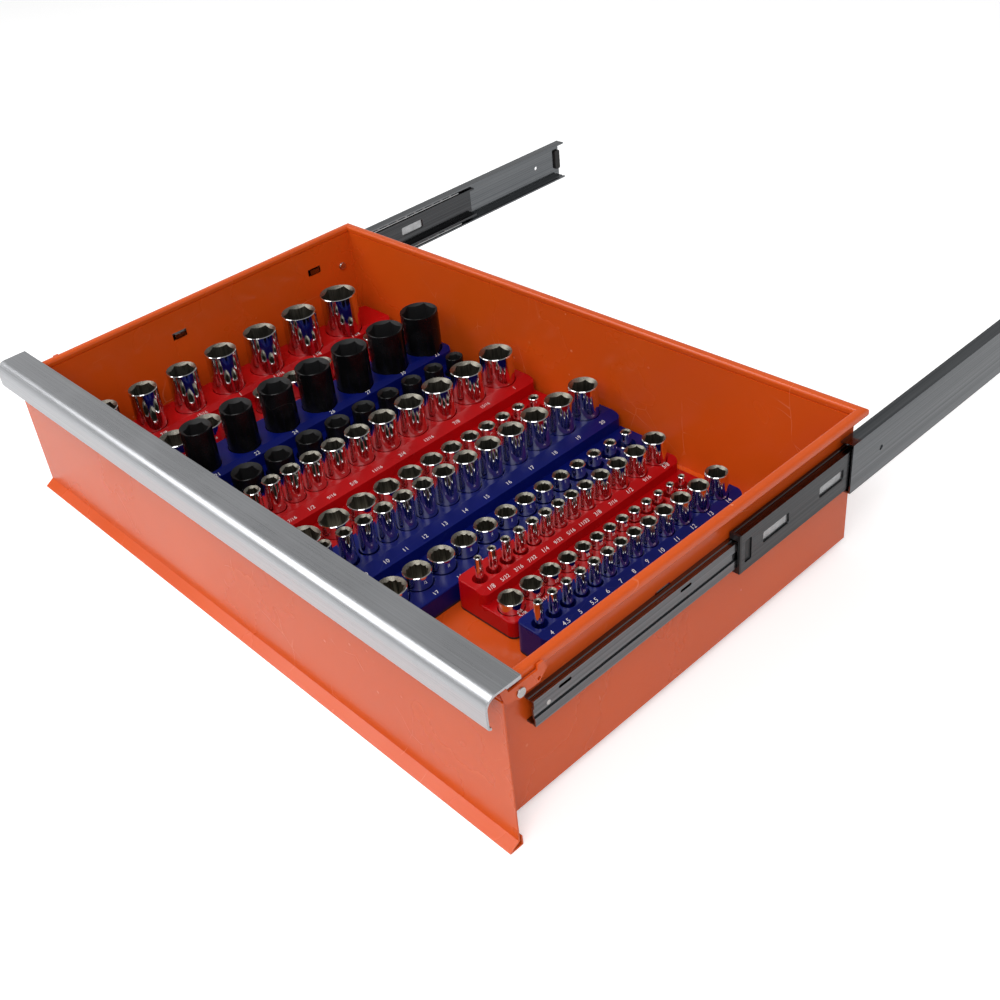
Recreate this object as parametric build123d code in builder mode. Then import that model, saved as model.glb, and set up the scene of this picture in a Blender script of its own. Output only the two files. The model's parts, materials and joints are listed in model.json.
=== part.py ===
"""Tool chest drawer with socket trays, shown open on its full-extension slides.

Origin: centre of the underside of the drawer tub. +X right, +Y back, +Z up, millimetres.
"""
import os

from build123d import *

os.makedirs("parts", exist_ok=True)

# ---------------------------------------------------------------- drawer tub
sheet = 1.0
tub_width = 636.0
tub_depth = 400.0
tub_height = 126.0
rim_width = 8.5
rim_height = 8.0
rim_round = 3.0
bead_height = 1.5
bead_depth = 0.6
bead_below_rim = 2.2
cut_clear = 1.0

wall_out = tub_width / 2
wall_in = wall_out - sheet
tub_front = -tub_depth / 2
tub_back = tub_depth / 2
floor_top = sheet
rim_bottom = tub_height - rim_height

# ---------------------------------------------------------------- front panel
panel_sheet = 1.2
panel_overhang = 17.0
panel_top = 125.0
panel_drop = 2.5
lip_reach = 8.4
lip_fall = 5.0
return_rise = 1.2
return_behind = 2.4

panel_half = wall_out + panel_overhang
face = tub_front - panel_sheet
lip_bottom = -panel_drop - lip_fall

# ---------------------------------------------------------------- inner front channel
channel_depth = 15.5
channel_side_gap = 0.2
channel_lip_gap = 2.8

channel_back = tub_front + channel_depth
channel_half = wall_in - channel_side_gap

# ---------------------------------------------------------------- handle
handle_top = 137.6
handle_overhang = 1.0
handle_sheet = 1.8
handle_pad = 3.0
handle_front = 5.0
nose_radius = 9.5
nose_bottom = 112.0
hook_radius = 3.5
handle_screw_count = 6
handle_screw_spacing = 120.0
handle_screw_radius = 1.95
handle_screw_head = 3.6
handle_screw_head_height = 2.2
handle_screw_cover = 0.6
screw_hole_gap = 0.05

handle_half = panel_half + handle_overhang
channel_top = handle_top - handle_pad
flange_front = tub_front + channel_lip_gap
handle_screw_y = (flange_front + channel_back) / 2

# ---------------------------------------------------------------- latch
latch_sheet = 1.5
latch_rim_gap = 0.8
bar_sheet = 1.0
bar_top = 131.0
bar_leg_bottom = 117.0
bar_front_gap = 2.1
bar_web_depth = 8.6
pivot_behind_face = 22.0
pivot_height = 113.5
pivot_radius = 2.2
pivot_shoulder = 2.8
pivot_head = 3.8
pivot_head_height = 1.2
pivot_gap = 0.05
lever_boss = 5.4
lever_strap_bottom = 126.6
lever_top = 120.7
lever_bottom = 110.0
strap_front = 4.5
strap_back = 9.0
neck_front = 8.0
neck_back = 12.0
heel_rise = 3.0
sole_rise = 1.0
hook_behind_pivot = 24.0
hook_finger = 7.5
hook_lean = 1.0
hook_flat = 5.0
hook_slope = 3.0
hook_top = 124.8
hook_eye_radius = 1.5
spring_wire = 0.8
spring_pitch = 1.15
spring_turns = 5
spring_gap = 0.2

rim_out = wall_in + rim_width
lever_in = rim_out + latch_rim_gap
lever_out = lever_in + latch_sheet
pivot_y = face + pivot_behind_face
bar_front = face - handle_front - nose_radius + handle_sheet + bar_front_gap

# ---------------------------------------------------------------- slides
slide_height = 84.0
slide_thickness = 12.7
ball_radius = 2.4
ball_gap = 0.08
groove = 0.6
ball_across = 5.0
cabinet_sheet = 1.2
cabinet_flange = 1.6
middle_sheet = 1.1
middle_flange = 2.2
drawer_rail_sheet = 1.2
drawer_rail_flange = 1.5
drawer_rail_half = 11.5
drawer_rail_joggle = 1.0
drawer_rail_joggle_half = 4.0
web_gap = 0.3
inner_cage_sheet = 0.6
outer_cage_sheet = 0.4
outer_cage_gap = 0.25
cage_flange = 1.0
cage_ball_gap = 0.2
cage_edge = 1.6
flange_wall_gap = 1.2

drawer_rail_front_y = 33.0
drawer_rail_length = 368.0
middle_front_y = 245.0
middle_length = 350.0
cabinet_front_y = 382.0
cabinet_length = 370.0
inner_cage_front_y = 262.0
inner_cage_length = 120.0
outer_cage_front_y = 420.0
outer_cage_length = 150.0
ball_pitch = 14.0
cage_end = 8.0
window_length = 32.0
window_height = 10.0
window_corner = 1.5
window_first = 26.0
window_pitch = 71.0
window_count = 4
buffer_length = 8.0
buffer_height = 24.0
buffer_thickness = 2.7
buffer_corner = 2.0
cap_lip = 2.0
cap_insert = 14.0
cap_clear = 0.8
front_opening_length = 8.0
front_opening_height = 20.0
front_opening_start = 4.0
rail_hole_spacing = 288.0
rail_hole_radius = 2.3
tab_length = 12.0
tab_sheet = 1.5
tab_hook = 1.0
tab_drop = 5.5
slot_gap = 2.5
tab_places = (170.0, 347.0)
rail_screw_places = (47.0, 385.0)
rail_slot_places = (62.0, 185.0)
rail_slot_rise = 7.2
rail_slot_length = 12.0
rail_slot_width = 2.6
rail_screw_radius = 1.9
rail_screw_head = 4.2
rail_screw_head_height = 1.8

ball_offset = ball_radius + ball_gap - groove
inner_ball_rise = drawer_rail_half + ball_offset
middle_inner = inner_ball_rise + ball_offset
middle_half = middle_inner + middle_flange
outer_ball_rise = middle_half + ball_offset
cabinet_inner = outer_ball_rise + ball_offset
cabinet_web = slide_thickness - cabinet_sheet
outer_cage_web = cabinet_web - outer_cage_gap - outer_cage_sheet
middle_web = outer_cage_web - outer_cage_gap - middle_sheet
inner_cage_web = middle_web - web_gap - inner_cage_sheet
drawer_rail_web = inner_cage_web - web_gap - drawer_rail_sheet

# ---------------------------------------------------------------- socket trays
tray_gap = 0.2
base_sheet = 2.0
tray_corner = 7.0
tray_edge = 1.2
tray_draft = 1.5
hole_gap = 0.6
label_fall = 4.0
socket_edge = 0.6
mouth_rim = 0.5
mouth_slope = 0.8
nose_share = 1.35
nose_wall = 2.2
web_under_hex = 3.0
neck_bottom = 0.40
neck_top = 0.50

base_bottom = floor_top + tray_gap
tray_bottom = base_bottom + base_sheet

quarter = dict(drive=6.35, deep_length=50.0, shallow_length=25.0, width=66.0, length=245.0,
               upper=31.0, lower=18.0, deep_row=17.0, shallow_row=49.5, label_start=24.5, step=34.0)
three_eighth = dict(drive=9.53, deep_length=63.0, shallow_length=30.0, width=104.0, length=370.0,
                    upper=35.0, lower=20.0, deep_row=27.5, shallow_row=77.5, label_start=42.0, step=56.0)
half = dict(drive=12.7, deep_length=78.0, shallow_length=38.0, width=105.0, length=366.0,
            upper=38.0, lower=22.0, deep_row=26.0, shallow_row=71.0, label_start=42.0, step=50.0)

# Each row lists (outside diameter, hexagon size) from front to back.
half_inch_fractional_deep = [(28.0, 20.6), (29.5, 22.2), (31.5, 23.8), (33.5, 25.4),
                             (35.5, 27.0), (37.5, 28.6), (40.0, 31.8)]
half_inch_fractional_shallow = [(34.0, 25.4), (33.0, 23.8), (31.5, 22.2), (30.0, 20.6), (28.0, 19.1),
                                (26.0, 17.5), (25.0, 15.9), (24.0, 14.3), (22.0, 12.7)]
half_inch_metric_deep = [(29.0, 19.0), (30.5, 21.0), (32.0, 22.0), (34.0, 24.0),
                         (35.5, 26.0), (37.0, 27.0), (38.0, 30.0), (39.5, 32.0)]
half_inch_metric_shallow = [(32.0, 22.0), (31.0, 21.0), (30.5, 19.0), (29.5, 18.0), (28.0, 17.0),
                            (26.5, 16.0), (25.5, 15.0), (24.5, 14.0), (23.5, 13.0), (22.5, 12.0)]
three_eighth_fractional_deep = [(17.0, 7.9), (17.0, 9.5), (17.3, 11.1), (18.5, 12.7), (20.5, 14.3),
                                (22.5, 15.9), (24.3, 17.5), (26.3, 19.1), (28.5, 20.6), (30.5, 22.2),
                                (32.0, 23.8), (34.0, 25.4)]
three_eighth_fractional_shallow = [(33.0, 25.4), (31.0, 23.8), (29.0, 22.2), (27.0, 20.6), (25.0, 19.1),
                                   (23.5, 17.5), (22.0, 15.9), (20.5, 14.3), (18.5, 12.7), (17.0, 11.1),
                                   (17.0, 9.5), (17.0, 7.9), (17.0, 6.4)]
three_eighth_metric_deep = [(17.0, 7.0), (17.0, 8.0), (17.0, 9.0), (17.0, 10.0), (17.3, 11.0),
                            (18.0, 12.0), (19.0, 13.0), (20.5, 14.0), (22.0, 15.0), (23.3, 16.0),
                            (24.5, 17.0), (26.0, 18.0), (27.0, 19.0), (28.5, 20.0)]
three_eighth_metric_shallow = [(28.0, 19.0), (26.5, 18.0), (25.5, 17.0), (24.5, 16.0), (23.0, 15.0),
                               (22.0, 14.0), (20.5, 13.0), (19.0, 12.0), (18.0, 11.0), (17.0, 10.0),
                               (17.0, 9.0), (17.0, 8.0), (17.0, 7.0), (17.0, 6.0)]
quarter_fractional_deep = [(12.0, 3.2), (12.0, 4.0), (12.0, 4.8), (12.0, 5.6), (12.0, 6.4), (12.0, 7.1),
                           (12.0, 7.9), (12.8, 8.7), (14.3, 9.5), (16.5, 11.1), (18.0, 12.7),
                           (19.5, 14.3), (21.5, 15.9)]
quarter_metric_deep = [(12.0, 4.0), (12.0, 4.5), (12.0, 5.0), (12.0, 5.5), (12.0, 6.0), (12.0, 7.0),
                       (12.0, 8.0), (13.0, 9.0), (14.3, 10.0), (16.0, 11.0), (17.5, 12.0),
                       (18.5, 13.0), (20.0, 14.0)]

# Tray places: left edge, front edge behind the panel face, and each row's spacing: where its first
# socket stands, then how far apart neighbours are, as a share of their diameters plus a fixed step.
trays = [
    dict(half, name="half_inch_fractional", left=-298.0, front=27.0, points=6,
         deep=half_inch_fractional_deep, deep_start=50.5, deep_share=1.0, deep_gap=15.0,
         shallow=half_inch_fractional_shallow, shallow_start=54.0, shallow_share=0.3, shallow_gap=28.0),
    dict(half, name="half_inch_metric", left=-191.0, front=20.5, points=6,
         deep=half_inch_metric_deep, deep_start=42.5, deep_share=0.2, deep_gap=39.3,
         shallow=half_inch_metric_shallow, shallow_start=67.5, shallow_share=1.0, shallow_gap=6.1),
    dict(three_eighth, name="three_eighth_fractional", left=-84.0, front=26.0, points=6,
         deep=three_eighth_fractional_deep, deep_start=53.0, deep_share=1.28, deep_gap=-1.76,
         shallow=three_eighth_fractional_shallow, shallow_start=49.5, shallow_share=0.93, shallow_gap=5.5),
    dict(three_eighth, name="three_eighth_metric", left=27.0, front=27.0, points=12,
         deep=three_eighth_metric_deep, deep_start=45.6, deep_share=1.11, deep_gap=2.2,
         shallow=three_eighth_metric_shallow, shallow_start=62.4, shallow_share=0.62, shallow_gap=11.3),
    dict(quarter, name="quarter_inch_fractional", left=134.0, front=132.0, points=6,
         deep=quarter_fractional_deep, deep_start=145.2, deep_share=1.15, deep_gap=1.7,
         shallow=quarter_fractional_deep[::-1], shallow_start=146.9, shallow_share=0.91, shallow_gap=4.7),
    dict(quarter, name="quarter_inch_metric", left=207.5, front=126.5, points=6,
         deep=quarter_metric_deep, deep_start=137.9, deep_share=1.16, deep_gap=1.75,
         shallow=quarter_metric_deep[::-1], shallow_start=140.5, shallow_share=0.91, shallow_gap=4.7),
]


def keep(piece, name):
    """Labels a finished piece and writes it."""
    piece.part.label = name
    export_step(piece.part, f"parts/{name}.step")


def across(y):
    """Plane facing -Y at depth y, for sections that run along Y."""
    return Plane.XZ.offset(-y)


def strip(points, thickness):
    """Outline of a folded sheet: the outer face's points, then the mitred inner face back again."""
    path = [Vector(*p) for p in points]
    runs = [(b - a).normalized() for a, b in zip(path, path[1:])]
    sides = [Vector(-r.Y, r.X) for r in runs]
    inner = [path[0] + sides[0] * thickness]
    for corner, one, two in zip(path[1:-1], sides, sides[1:]):
        inner.append(corner + (one + two) * (thickness / (1 + one.dot(two))))
    inner.append(path[-1] + sides[-1] * thickness)
    outline = path + inner[::-1]
    return [(p.X, p.Y) for p in outline] + [(path[0].X, path[0].Y)]


def mirrored(piece, name):
    """The left-hand twin of a right-hand piece."""
    with BuildPart() as twin:
        mirror(piece.part, about=Plane.YZ)
    keep(twin, name)


def screw(origin, direction, radius, length, head_radius, head_height):
    """A pan head screw: its head's underside at origin, its shank along direction."""
    seat = Plane(origin=origin, z_dir=direction)
    with BuildPart(mode=Mode.PRIVATE) as body:
        with BuildSketch(seat):
            Circle(radius)
        extrude(amount=length)
        with BuildSketch(seat):
            Circle(head_radius)
        extrude(amount=-head_height)
        fillet(body.faces().sort_by(Axis(origin, direction))[0].edges(), head_height / 2)
    return body.part


# ---------------------------------------------------------------- the tub
slot_height = tab_drop + slot_gap
slot_top = slide_height + drawer_rail_half + slot_gap / 2
tab_depths = [face + place for place in tab_places]
rail_screw_depths = [face + place for place in rail_screw_places]

with BuildPart() as drawer_tub:
    with BuildLine() as rim_path:
        Polyline((wall_in, tub_front, 0), (wall_in, tub_back - sheet, 0),
                 (-wall_in, tub_back - sheet, 0), (-wall_in, tub_front, 0))
    with BuildSketch(across(tub_front)):
        with Locations((wall_in + sheet / 2, (rim_bottom + sheet) / 2)):
            Rectangle(sheet, rim_bottom + sheet)
        with Locations((wall_out + bead_depth / 2, rim_bottom - bead_below_rim)):
            Rectangle(bead_depth, bead_height)
        with Locations((wall_in + rim_width / 2, tub_height - rim_height / 2)):
            RectangleRounded(rim_width, rim_height, rim_round)
            RectangleRounded(rim_width - 2 * sheet, rim_height - 2 * sheet, rim_round - sheet,
                             mode=Mode.SUBTRACT)
    sweep(path=rim_path.wire(), transition=Transition.RIGHT)
    with BuildSketch():
        Rectangle(tub_width, tub_depth)
    extrude(amount=sheet)
    with BuildSketch(Plane.YZ.offset(-wall_out - cut_clear)):
        with Locations(*[(y, slot_top - slot_height / 2) for y in tab_depths]):
            Rectangle(tab_length + 2 * slot_gap, slot_height)
        with Locations((pivot_y, pivot_height)):
            Circle(pivot_radius + pivot_gap)
        with Locations(*[(y, slide_height) for y in rail_screw_depths]):
            Circle(rail_screw_radius + screw_hole_gap)
    extrude(amount=tub_width + 2 * cut_clear, mode=Mode.SUBTRACT)
keep(drawer_tub, "drawer_tub")

# ---------------------------------------------------------------- the front panel
panel_path = [
    (face, panel_top),
    (face, -panel_drop),
    (face - lip_reach, lip_bottom),
    (face - lip_reach, lip_bottom - return_rise),
    (face + return_behind + panel_sheet, lip_bottom - return_rise),
    (face + return_behind + panel_sheet, 0),
]
with BuildPart() as front_panel:
    with BuildSketch(Plane.YZ.offset(-panel_half)):
        with BuildLine():
            Polyline(*strip(panel_path[:3], panel_sheet))
        make_face()
        with BuildLine():
            Polyline(*strip(panel_path[3:], panel_sheet))
        make_face()
    extrude(amount=2 * panel_half)
    with BuildSketch(Plane.XY.offset(panel_top)):
        with Locations((0, (face + channel_back - sheet) / 2)):
            Rectangle(2 * channel_half, channel_back - sheet - face)
    extrude(amount=-panel_sheet)
keep(front_panel, "front_panel")

# ---------------------------------------------------------------- the inner front channel
channel_path = [
    (tub_front, floor_top),
    (channel_back, floor_top),
    (channel_back, channel_top),
    (flange_front, channel_top),
]
handle_screw_xs = [
    (i - (handle_screw_count - 1) / 2) * handle_screw_spacing for i in range(handle_screw_count)
]
with BuildPart() as front_channel:
    with BuildSketch(Plane.YZ.offset(-channel_half)):
        with BuildLine():
            Polyline(*strip(channel_path, sheet))
        make_face()
    extrude(amount=2 * channel_half)
    with BuildSketch(Plane.XY.offset(channel_top)):
        with Locations(*[(x, handle_screw_y) for x in handle_screw_xs]):
            Circle(handle_screw_radius + screw_hole_gap)
    extrude(amount=-sheet, mode=Mode.SUBTRACT)
keep(front_channel, "front_channel")

# ---------------------------------------------------------------- the handle
nose_y = face - handle_front
nose_front = nose_y - nose_radius
nose_z = handle_top - nose_radius
hook_y = nose_front + hook_radius
hook_z = nose_bottom + hook_radius
with BuildPart() as handle_extrusion:
    with BuildSketch(Plane.YZ.offset(-handle_half)):
        with BuildLine():
            Line((channel_back, handle_top), (nose_y, handle_top))
            CenterArc((nose_y, nose_z), nose_radius, 90, 90)
            Line((nose_front, nose_z), (nose_front, hook_z))
            CenterArc((hook_y, hook_z), hook_radius, 180, 90)
            Line((hook_y, nose_bottom), (hook_y, nose_bottom + handle_sheet))
            CenterArc((hook_y, hook_z), hook_radius - handle_sheet, 270, -90)
            Line((nose_front + handle_sheet, hook_z), (nose_front + handle_sheet, nose_z))
            CenterArc((nose_y, nose_z), nose_radius - handle_sheet, 180, -90)
            Polyline((nose_y, handle_top - handle_sheet), (flange_front, handle_top - handle_sheet),
                     (flange_front, channel_top), (channel_back, channel_top),
                     (channel_back, handle_top))
        make_face()
    extrude(amount=2 * handle_half)
    with BuildSketch(Plane.XY.offset(channel_top)):
        with Locations(*[(x, handle_screw_y) for x in handle_screw_xs]):
            Circle(handle_screw_radius + screw_hole_gap)
    extrude(amount=handle_pad - handle_screw_cover, mode=Mode.SUBTRACT)
keep(handle_extrusion, "handle_extrusion")

with BuildPart() as handle_screws:
    for x in handle_screw_xs:
        add(screw((x, handle_screw_y, channel_top - sheet), (0, 0, 1), handle_screw_radius,
                  sheet + handle_pad - 2 * handle_screw_cover, handle_screw_head,
                  handle_screw_head_height))
keep(handle_screws, "handle_screws")

# ---------------------------------------------------------------- the latch
bar_path = [
    (bar_front, bar_leg_bottom),
    (bar_front, bar_top),
    (bar_front + bar_web_depth, bar_top),
]
with BuildPart() as latch_pull_bar:
    with BuildSketch(Plane.YZ.offset(-lever_in)):
        with BuildLine():
            Polyline(*strip(bar_path[::-1], bar_sheet))
        make_face()
    extrude(amount=2 * lever_in)
keep(latch_pull_bar, "latch_pull_bar")

hook_back = pivot_y + hook_behind_pivot
hook_front = hook_back - hook_finger
with BuildPart() as right_latch_hook:
    with BuildSketch(Plane.YZ.offset(lever_in)):
        with BuildLine():
            Polyline((bar_front, lever_strap_bottom), (bar_front, bar_top), (face + strap_back, bar_top),
                     (face + neck_back, lever_top), (hook_front - hook_lean, lever_top),
                     (hook_front, hook_top), (hook_front + hook_flat, hook_top),
                     (hook_back, lever_top - hook_slope), (hook_front, lever_bottom),
                     (face + neck_back, lever_bottom + sole_rise),
                     (face + neck_front, lever_bottom + heel_rise),
                     (face + strap_front, lever_strap_bottom), (bar_front, lever_strap_bottom))
        make_face()
        with Locations((pivot_y, pivot_height)):
            Circle(lever_boss)
            Circle(pivot_radius + pivot_gap, mode=Mode.SUBTRACT)
        with Locations((hook_front, pivot_height)):
            Circle(hook_eye_radius, mode=Mode.SUBTRACT)
    extrude(amount=latch_sheet)
keep(right_latch_hook, "right_latch_hook")
mirrored(right_latch_hook, "left_latch_hook")

pivot_line = Plane(origin=(wall_in, pivot_y, pivot_height), z_dir=(1, 0, 0))
shoulder_start = sheet + bead_depth
shoulder_end = lever_in - wall_in - spring_gap
pin_end = lever_out - wall_in + pivot_gap
with BuildPart() as right_latch_pivot:
    with BuildSketch(pivot_line):
        Circle(pivot_radius)
    extrude(amount=pin_end)
    with BuildSketch(pivot_line):
        Circle(pivot_head)
    extrude(amount=-pivot_head_height)
    with BuildSketch(pivot_line.offset(shoulder_start)):
        Circle(pivot_shoulder)
    extrude(amount=shoulder_end - shoulder_start)
    with BuildSketch(pivot_line.offset(pin_end)):
        Circle(pivot_head)
    extrude(amount=pivot_head_height)
    fillet(right_latch_pivot.edges().filter_by(GeomType.CIRCLE).sort_by(Axis.X)[-1], pivot_head_height / 2)
keep(right_latch_pivot, "right_latch_pivot")
mirrored(right_latch_pivot, "left_latch_pivot")

spring_radius = pivot_shoulder + spring_gap + spring_wire / 2
spring_start = wall_out + bead_depth + spring_gap + spring_wire / 2
with BuildPart() as right_latch_spring:
    with BuildLine():
        coil = Helix(pitch=spring_pitch, height=spring_pitch * spring_turns, radius=spring_radius,
                     center=(spring_start, pivot_y, pivot_height), direction=(1, 0, 0))
    with BuildSketch(Plane(origin=coil @ 0, z_dir=coil % 0)):
        Circle(spring_wire / 2)
    sweep(path=coil)
keep(right_latch_spring, "right_latch_spring")
mirrored(right_latch_spring, "left_latch_spring")


# ---------------------------------------------------------------- the slides
def rail_plane(y):
    """Section plane at depth y, its origin on the wall's outer face at the slide's mid height."""
    return Plane(origin=(wall_out, y, slide_height), x_dir=(1, 0, 0), z_dir=(0, -1, 0))


def channel_section(inner_edge, web, web_sheet, rise, flange):
    """A channel open towards the drawer: web at the far side, a flange above and one below."""
    with Locations((web + web_sheet / 2, 0)):
        Rectangle(web_sheet, 2 * (rise + flange))
    width = web + web_sheet - inner_edge
    with Locations((inner_edge + width / 2, rise + flange / 2), (inner_edge + width / 2, -rise - flange / 2)):
        Rectangle(width, flange)


def ball_grooves(rise):
    """Raceways for the balls above and below the slide's middle."""
    with Locations((ball_across, rise), (ball_across, -rise)):
        Circle(ball_radius + ball_gap, mode=Mode.SUBTRACT)


def ball_rows(front, length, rise):
    """Ball centres of one cage, spaced evenly between its ends."""
    count = int((length - 2 * cage_end) / ball_pitch) + 1
    first = front + (length - (count - 1) * ball_pitch) / 2
    rows = [slide_height + rise, slide_height - rise]
    return [(wall_out + ball_across, first + i * ball_pitch, z) for i in range(count) for z in rows]


drawer_rail_start = face + drawer_rail_front_y
middle_start = face + middle_front_y
cabinet_start = face + cabinet_front_y
inner_cage_start = face + inner_cage_front_y
outer_cage_start = face + outer_cage_front_y

with BuildPart() as right_drawer_rail:
    with BuildSketch(rail_plane(drawer_rail_start)):
        channel_section(0, drawer_rail_web, drawer_rail_sheet, drawer_rail_half - drawer_rail_flange,
                        drawer_rail_flange)
        ball_grooves(inner_ball_rise)
        with Locations((drawer_rail_web + drawer_rail_sheet - drawer_rail_joggle / 2, 0)):
            Rectangle(drawer_rail_joggle, 2 * drawer_rail_joggle_half, mode=Mode.SUBTRACT)
        with Locations((drawer_rail_web - drawer_rail_joggle / 2, 0)):
            Rectangle(drawer_rail_joggle, 2 * (drawer_rail_joggle_half + drawer_rail_sheet))
    extrude(amount=-drawer_rail_length)
    for y in tab_depths:
        with BuildSketch(rail_plane(y - tab_length / 2)):
            with Locations((-sheet / 2, drawer_rail_half - tab_sheet / 2)):
                Rectangle(sheet, tab_sheet)
            with Locations((-sheet - tab_hook / 2, drawer_rail_half - tab_drop / 2)):
                Rectangle(tab_hook, tab_drop)
        extrude(amount=-tab_length)
    with BuildSketch(Plane.YZ.offset(wall_out)):
        with Locations(*[(y, slide_height) for y in rail_screw_depths]):
            Circle(rail_screw_radius + screw_hole_gap)
        with Locations(*[(face + place, slide_height + rail_slot_rise) for place in rail_slot_places]):
            SlotOverall(rail_slot_length, rail_slot_width)
    extrude(amount=slide_thickness, mode=Mode.SUBTRACT)
keep(right_drawer_rail, "right_drawer_rail")
mirrored(right_drawer_rail, "left_drawer_rail")

with BuildPart() as right_middle_rail:
    with BuildSketch(rail_plane(middle_start)):
        channel_section(flange_wall_gap, middle_web, middle_sheet, middle_inner, middle_flange)
        ball_grooves(inner_ball_rise)
        ball_grooves(outer_ball_rise)
    extrude(amount=-middle_length)
    with BuildSketch(Plane.YZ.offset(wall_out + middle_web)):
        window_ys = [middle_start + window_first + window_length / 2 + i * window_pitch
                     for i in range(window_count)]
        with Locations(*[(y, slide_height) for y in window_ys]):
            RectangleRounded(window_length, window_height, window_corner)
        with Locations((middle_start + front_opening_start + front_opening_length / 2, slide_height)):
            RectangleRounded(front_opening_length, front_opening_height, window_corner)
    extrude(amount=middle_sheet, mode=Mode.SUBTRACT)
keep(right_middle_rail, "right_middle_rail")
mirrored(right_middle_rail, "left_middle_rail")

with BuildPart() as right_cabinet_rail:
    with BuildSketch(rail_plane(cabinet_start)):
        channel_section(flange_wall_gap, cabinet_web, cabinet_sheet, cabinet_inner, cabinet_flange)
        ball_grooves(outer_ball_rise)
    extrude(amount=-cabinet_length)
    with BuildSketch(Plane.YZ.offset(wall_out + cabinet_web)):
        with Locations((cabinet_start + cabinet_length / 2, slide_height)):
            with GridLocations(rail_hole_spacing, 1, 2, 1):
                Circle(rail_hole_radius)
    extrude(amount=cabinet_sheet, mode=Mode.SUBTRACT)
keep(right_cabinet_rail, "right_cabinet_rail")
mirrored(right_cabinet_rail, "left_cabinet_rail")

cap_inner = drawer_rail_half + cap_clear
cap_web = drawer_rail_web + drawer_rail_sheet + web_gap
with BuildPart() as right_middle_cap:
    with BuildSketch(rail_plane(middle_start - cap_lip)):
        channel_section(flange_wall_gap, cap_web, middle_web + middle_sheet - cap_web, cap_inner,
                        middle_half - cap_inner)
    extrude(amount=-cap_lip)
    with BuildSketch(rail_plane(middle_start)):
        channel_section(flange_wall_gap, cap_web, middle_web - cap_web, cap_inner,
                        middle_inner - cap_inner)
    extrude(amount=-cap_insert)
keep(right_middle_cap, "right_middle_cap")
mirrored(right_middle_cap, "left_middle_cap")

buffer_start = cabinet_start + cabinet_length - buffer_length
with BuildPart() as right_rear_buffer:
    with BuildSketch(rail_plane(buffer_start)):
        with Locations((cabinet_web - buffer_thickness / 2, 0)):
            Rectangle(buffer_thickness, buffer_height)
    extrude(amount=-buffer_length)
    fillet(right_rear_buffer.edges().filter_by(Axis.X), buffer_corner)
keep(right_rear_buffer, "right_rear_buffer")
mirrored(right_rear_buffer, "left_rear_buffer")


def ball_cage(front, length, web, web_sheet, rise):
    """The strip that spaces one set of balls, with a hole for each ball."""
    with BuildPart() as cage:
        with BuildSketch(rail_plane(front)):
            channel_section(cage_edge, web, web_sheet, rise - cage_flange / 2, cage_flange)
        extrude(amount=-length)
        places = ball_rows(front, length, rise)
        with BuildSketch(Plane.XY.offset(slide_height - rise - cage_flange)):
            with Locations(*[(x, y) for x, y, z in places if z > slide_height]):
                Circle(ball_radius + cage_ball_gap)
        extrude(amount=2 * (rise + cage_flange), mode=Mode.SUBTRACT)
    return cage


def balls(front, length, rise):
    """One cage's balls."""
    with BuildPart() as group:
        with Locations(*ball_rows(front, length, rise)):
            Sphere(ball_radius)
    return group


right_inner_cage = ball_cage(inner_cage_start, inner_cage_length, inner_cage_web, inner_cage_sheet,
                             inner_ball_rise)
keep(right_inner_cage, "right_inner_cage")
mirrored(right_inner_cage, "left_inner_cage")
right_inner_balls = balls(inner_cage_start, inner_cage_length, inner_ball_rise)
keep(right_inner_balls, "right_inner_balls")
mirrored(right_inner_balls, "left_inner_balls")
right_outer_cage = ball_cage(outer_cage_start, outer_cage_length, outer_cage_web, outer_cage_sheet,
                             outer_ball_rise)
keep(right_outer_cage, "right_outer_cage")
mirrored(right_outer_cage, "left_outer_cage")
right_outer_balls = balls(outer_cage_start, outer_cage_length, outer_ball_rise)
keep(right_outer_balls, "right_outer_balls")
mirrored(right_outer_balls, "left_outer_balls")

with BuildPart() as drawer_rail_screws:
    for y in rail_screw_depths:
        for side in (-1, 1):
            add(screw((side * wall_in, y, slide_height), (side, 0, 0), rail_screw_radius,
                      sheet + drawer_rail_web + drawer_rail_sheet - drawer_rail_joggle,
                      rail_screw_head, rail_screw_head_height))
keep(drawer_rail_screws, "drawer_rail_screws")


# ---------------------------------------------------------------- trays and sockets
def row_places(tray, height):
    """(diameter, hexagon size, depth) of each socket in a tray's deep or shallow row."""
    row = tray[height]
    depth = face + tray[height + "_start"]
    places = [(*row[0], depth)]
    for (one, _), (two, size) in zip(row, row[1:]):
        depth += tray[height + "_share"] * (one + two) / 2 + tray[height + "_gap"]
        places.append((two, size, depth))
    return places


def tray_base(tray):
    """The black magnetic sheet under a tray."""
    with BuildPart() as base:
        with BuildSketch(Plane.XY.offset(base_bottom)):
            with Locations((tray["left"] + tray["width"] / 2, face + tray["front"] + tray["length"] / 2)):
                RectangleRounded(tray["width"], tray["length"], tray_corner)
        extrude(amount=base_sheet)
    return base


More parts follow.
